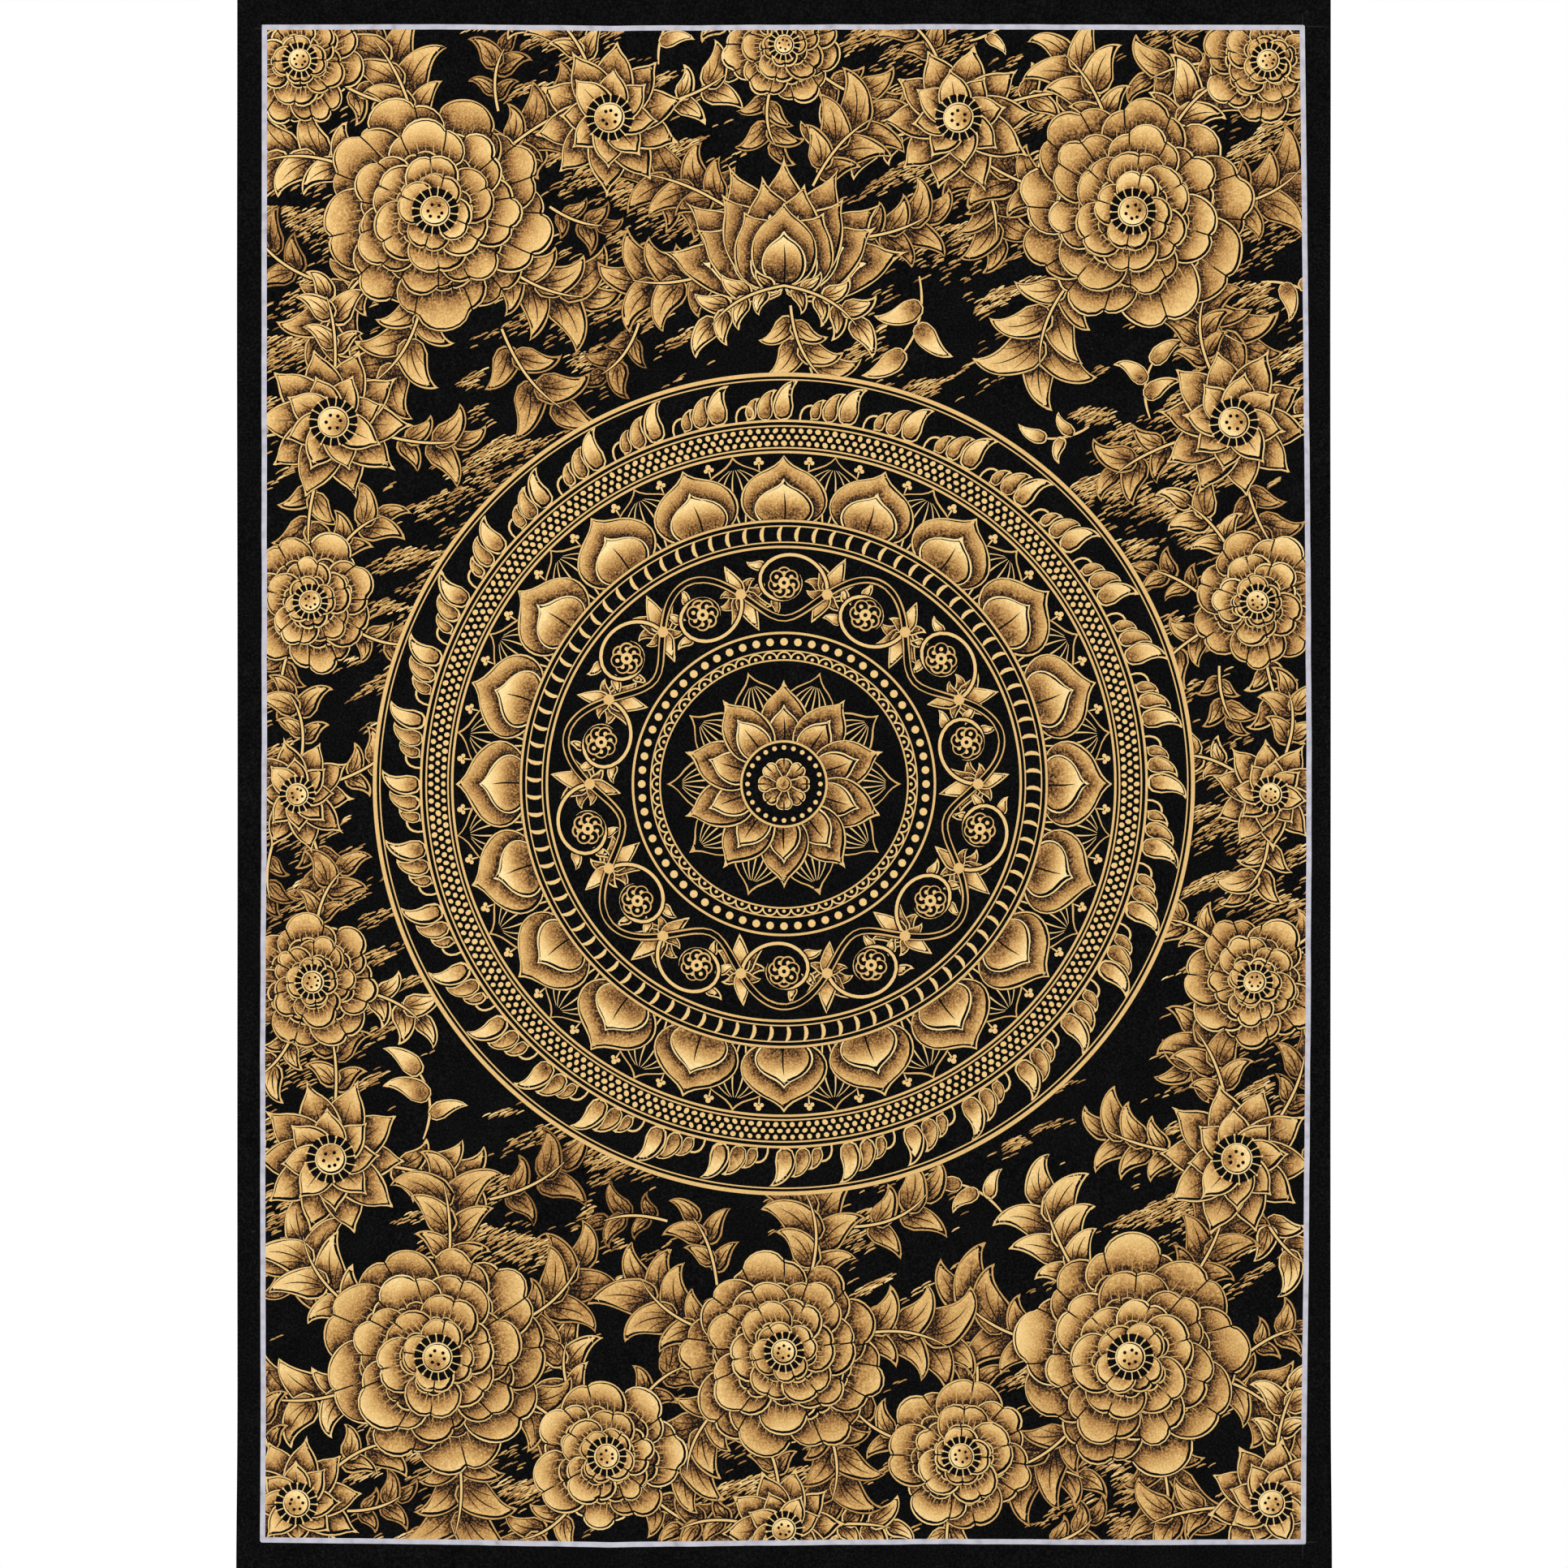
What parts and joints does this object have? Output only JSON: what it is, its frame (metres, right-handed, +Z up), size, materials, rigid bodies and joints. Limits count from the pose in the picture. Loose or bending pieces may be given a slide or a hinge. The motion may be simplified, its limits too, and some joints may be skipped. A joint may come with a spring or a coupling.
{
  "type": "thangka painting on unmounted canvas",
  "caption": "Upright black canvas painted in gold with a round ornament in leaf scroll, inside a pale painted line, hung by its top edge.",
  "frame": {"origin": "middle of the top edge, halfway through the cloth", "axes": "+Z up along the hanging height, the painted front faces -Y, +X to the right seen from the front"},
  "size_m": [0.42, 0.0066, 0.604],
  "materials": {
    "black_canvas": "matt black ground on fine cotton",
    "gold_paint": "matt gold paint, stippled from bright to brown",
    "border_paint": "matt pale lilac-grey paint"
  },
  "bodies": {
    "root": {"canvas": "black_canvas"}
  },
  "joints": []
}
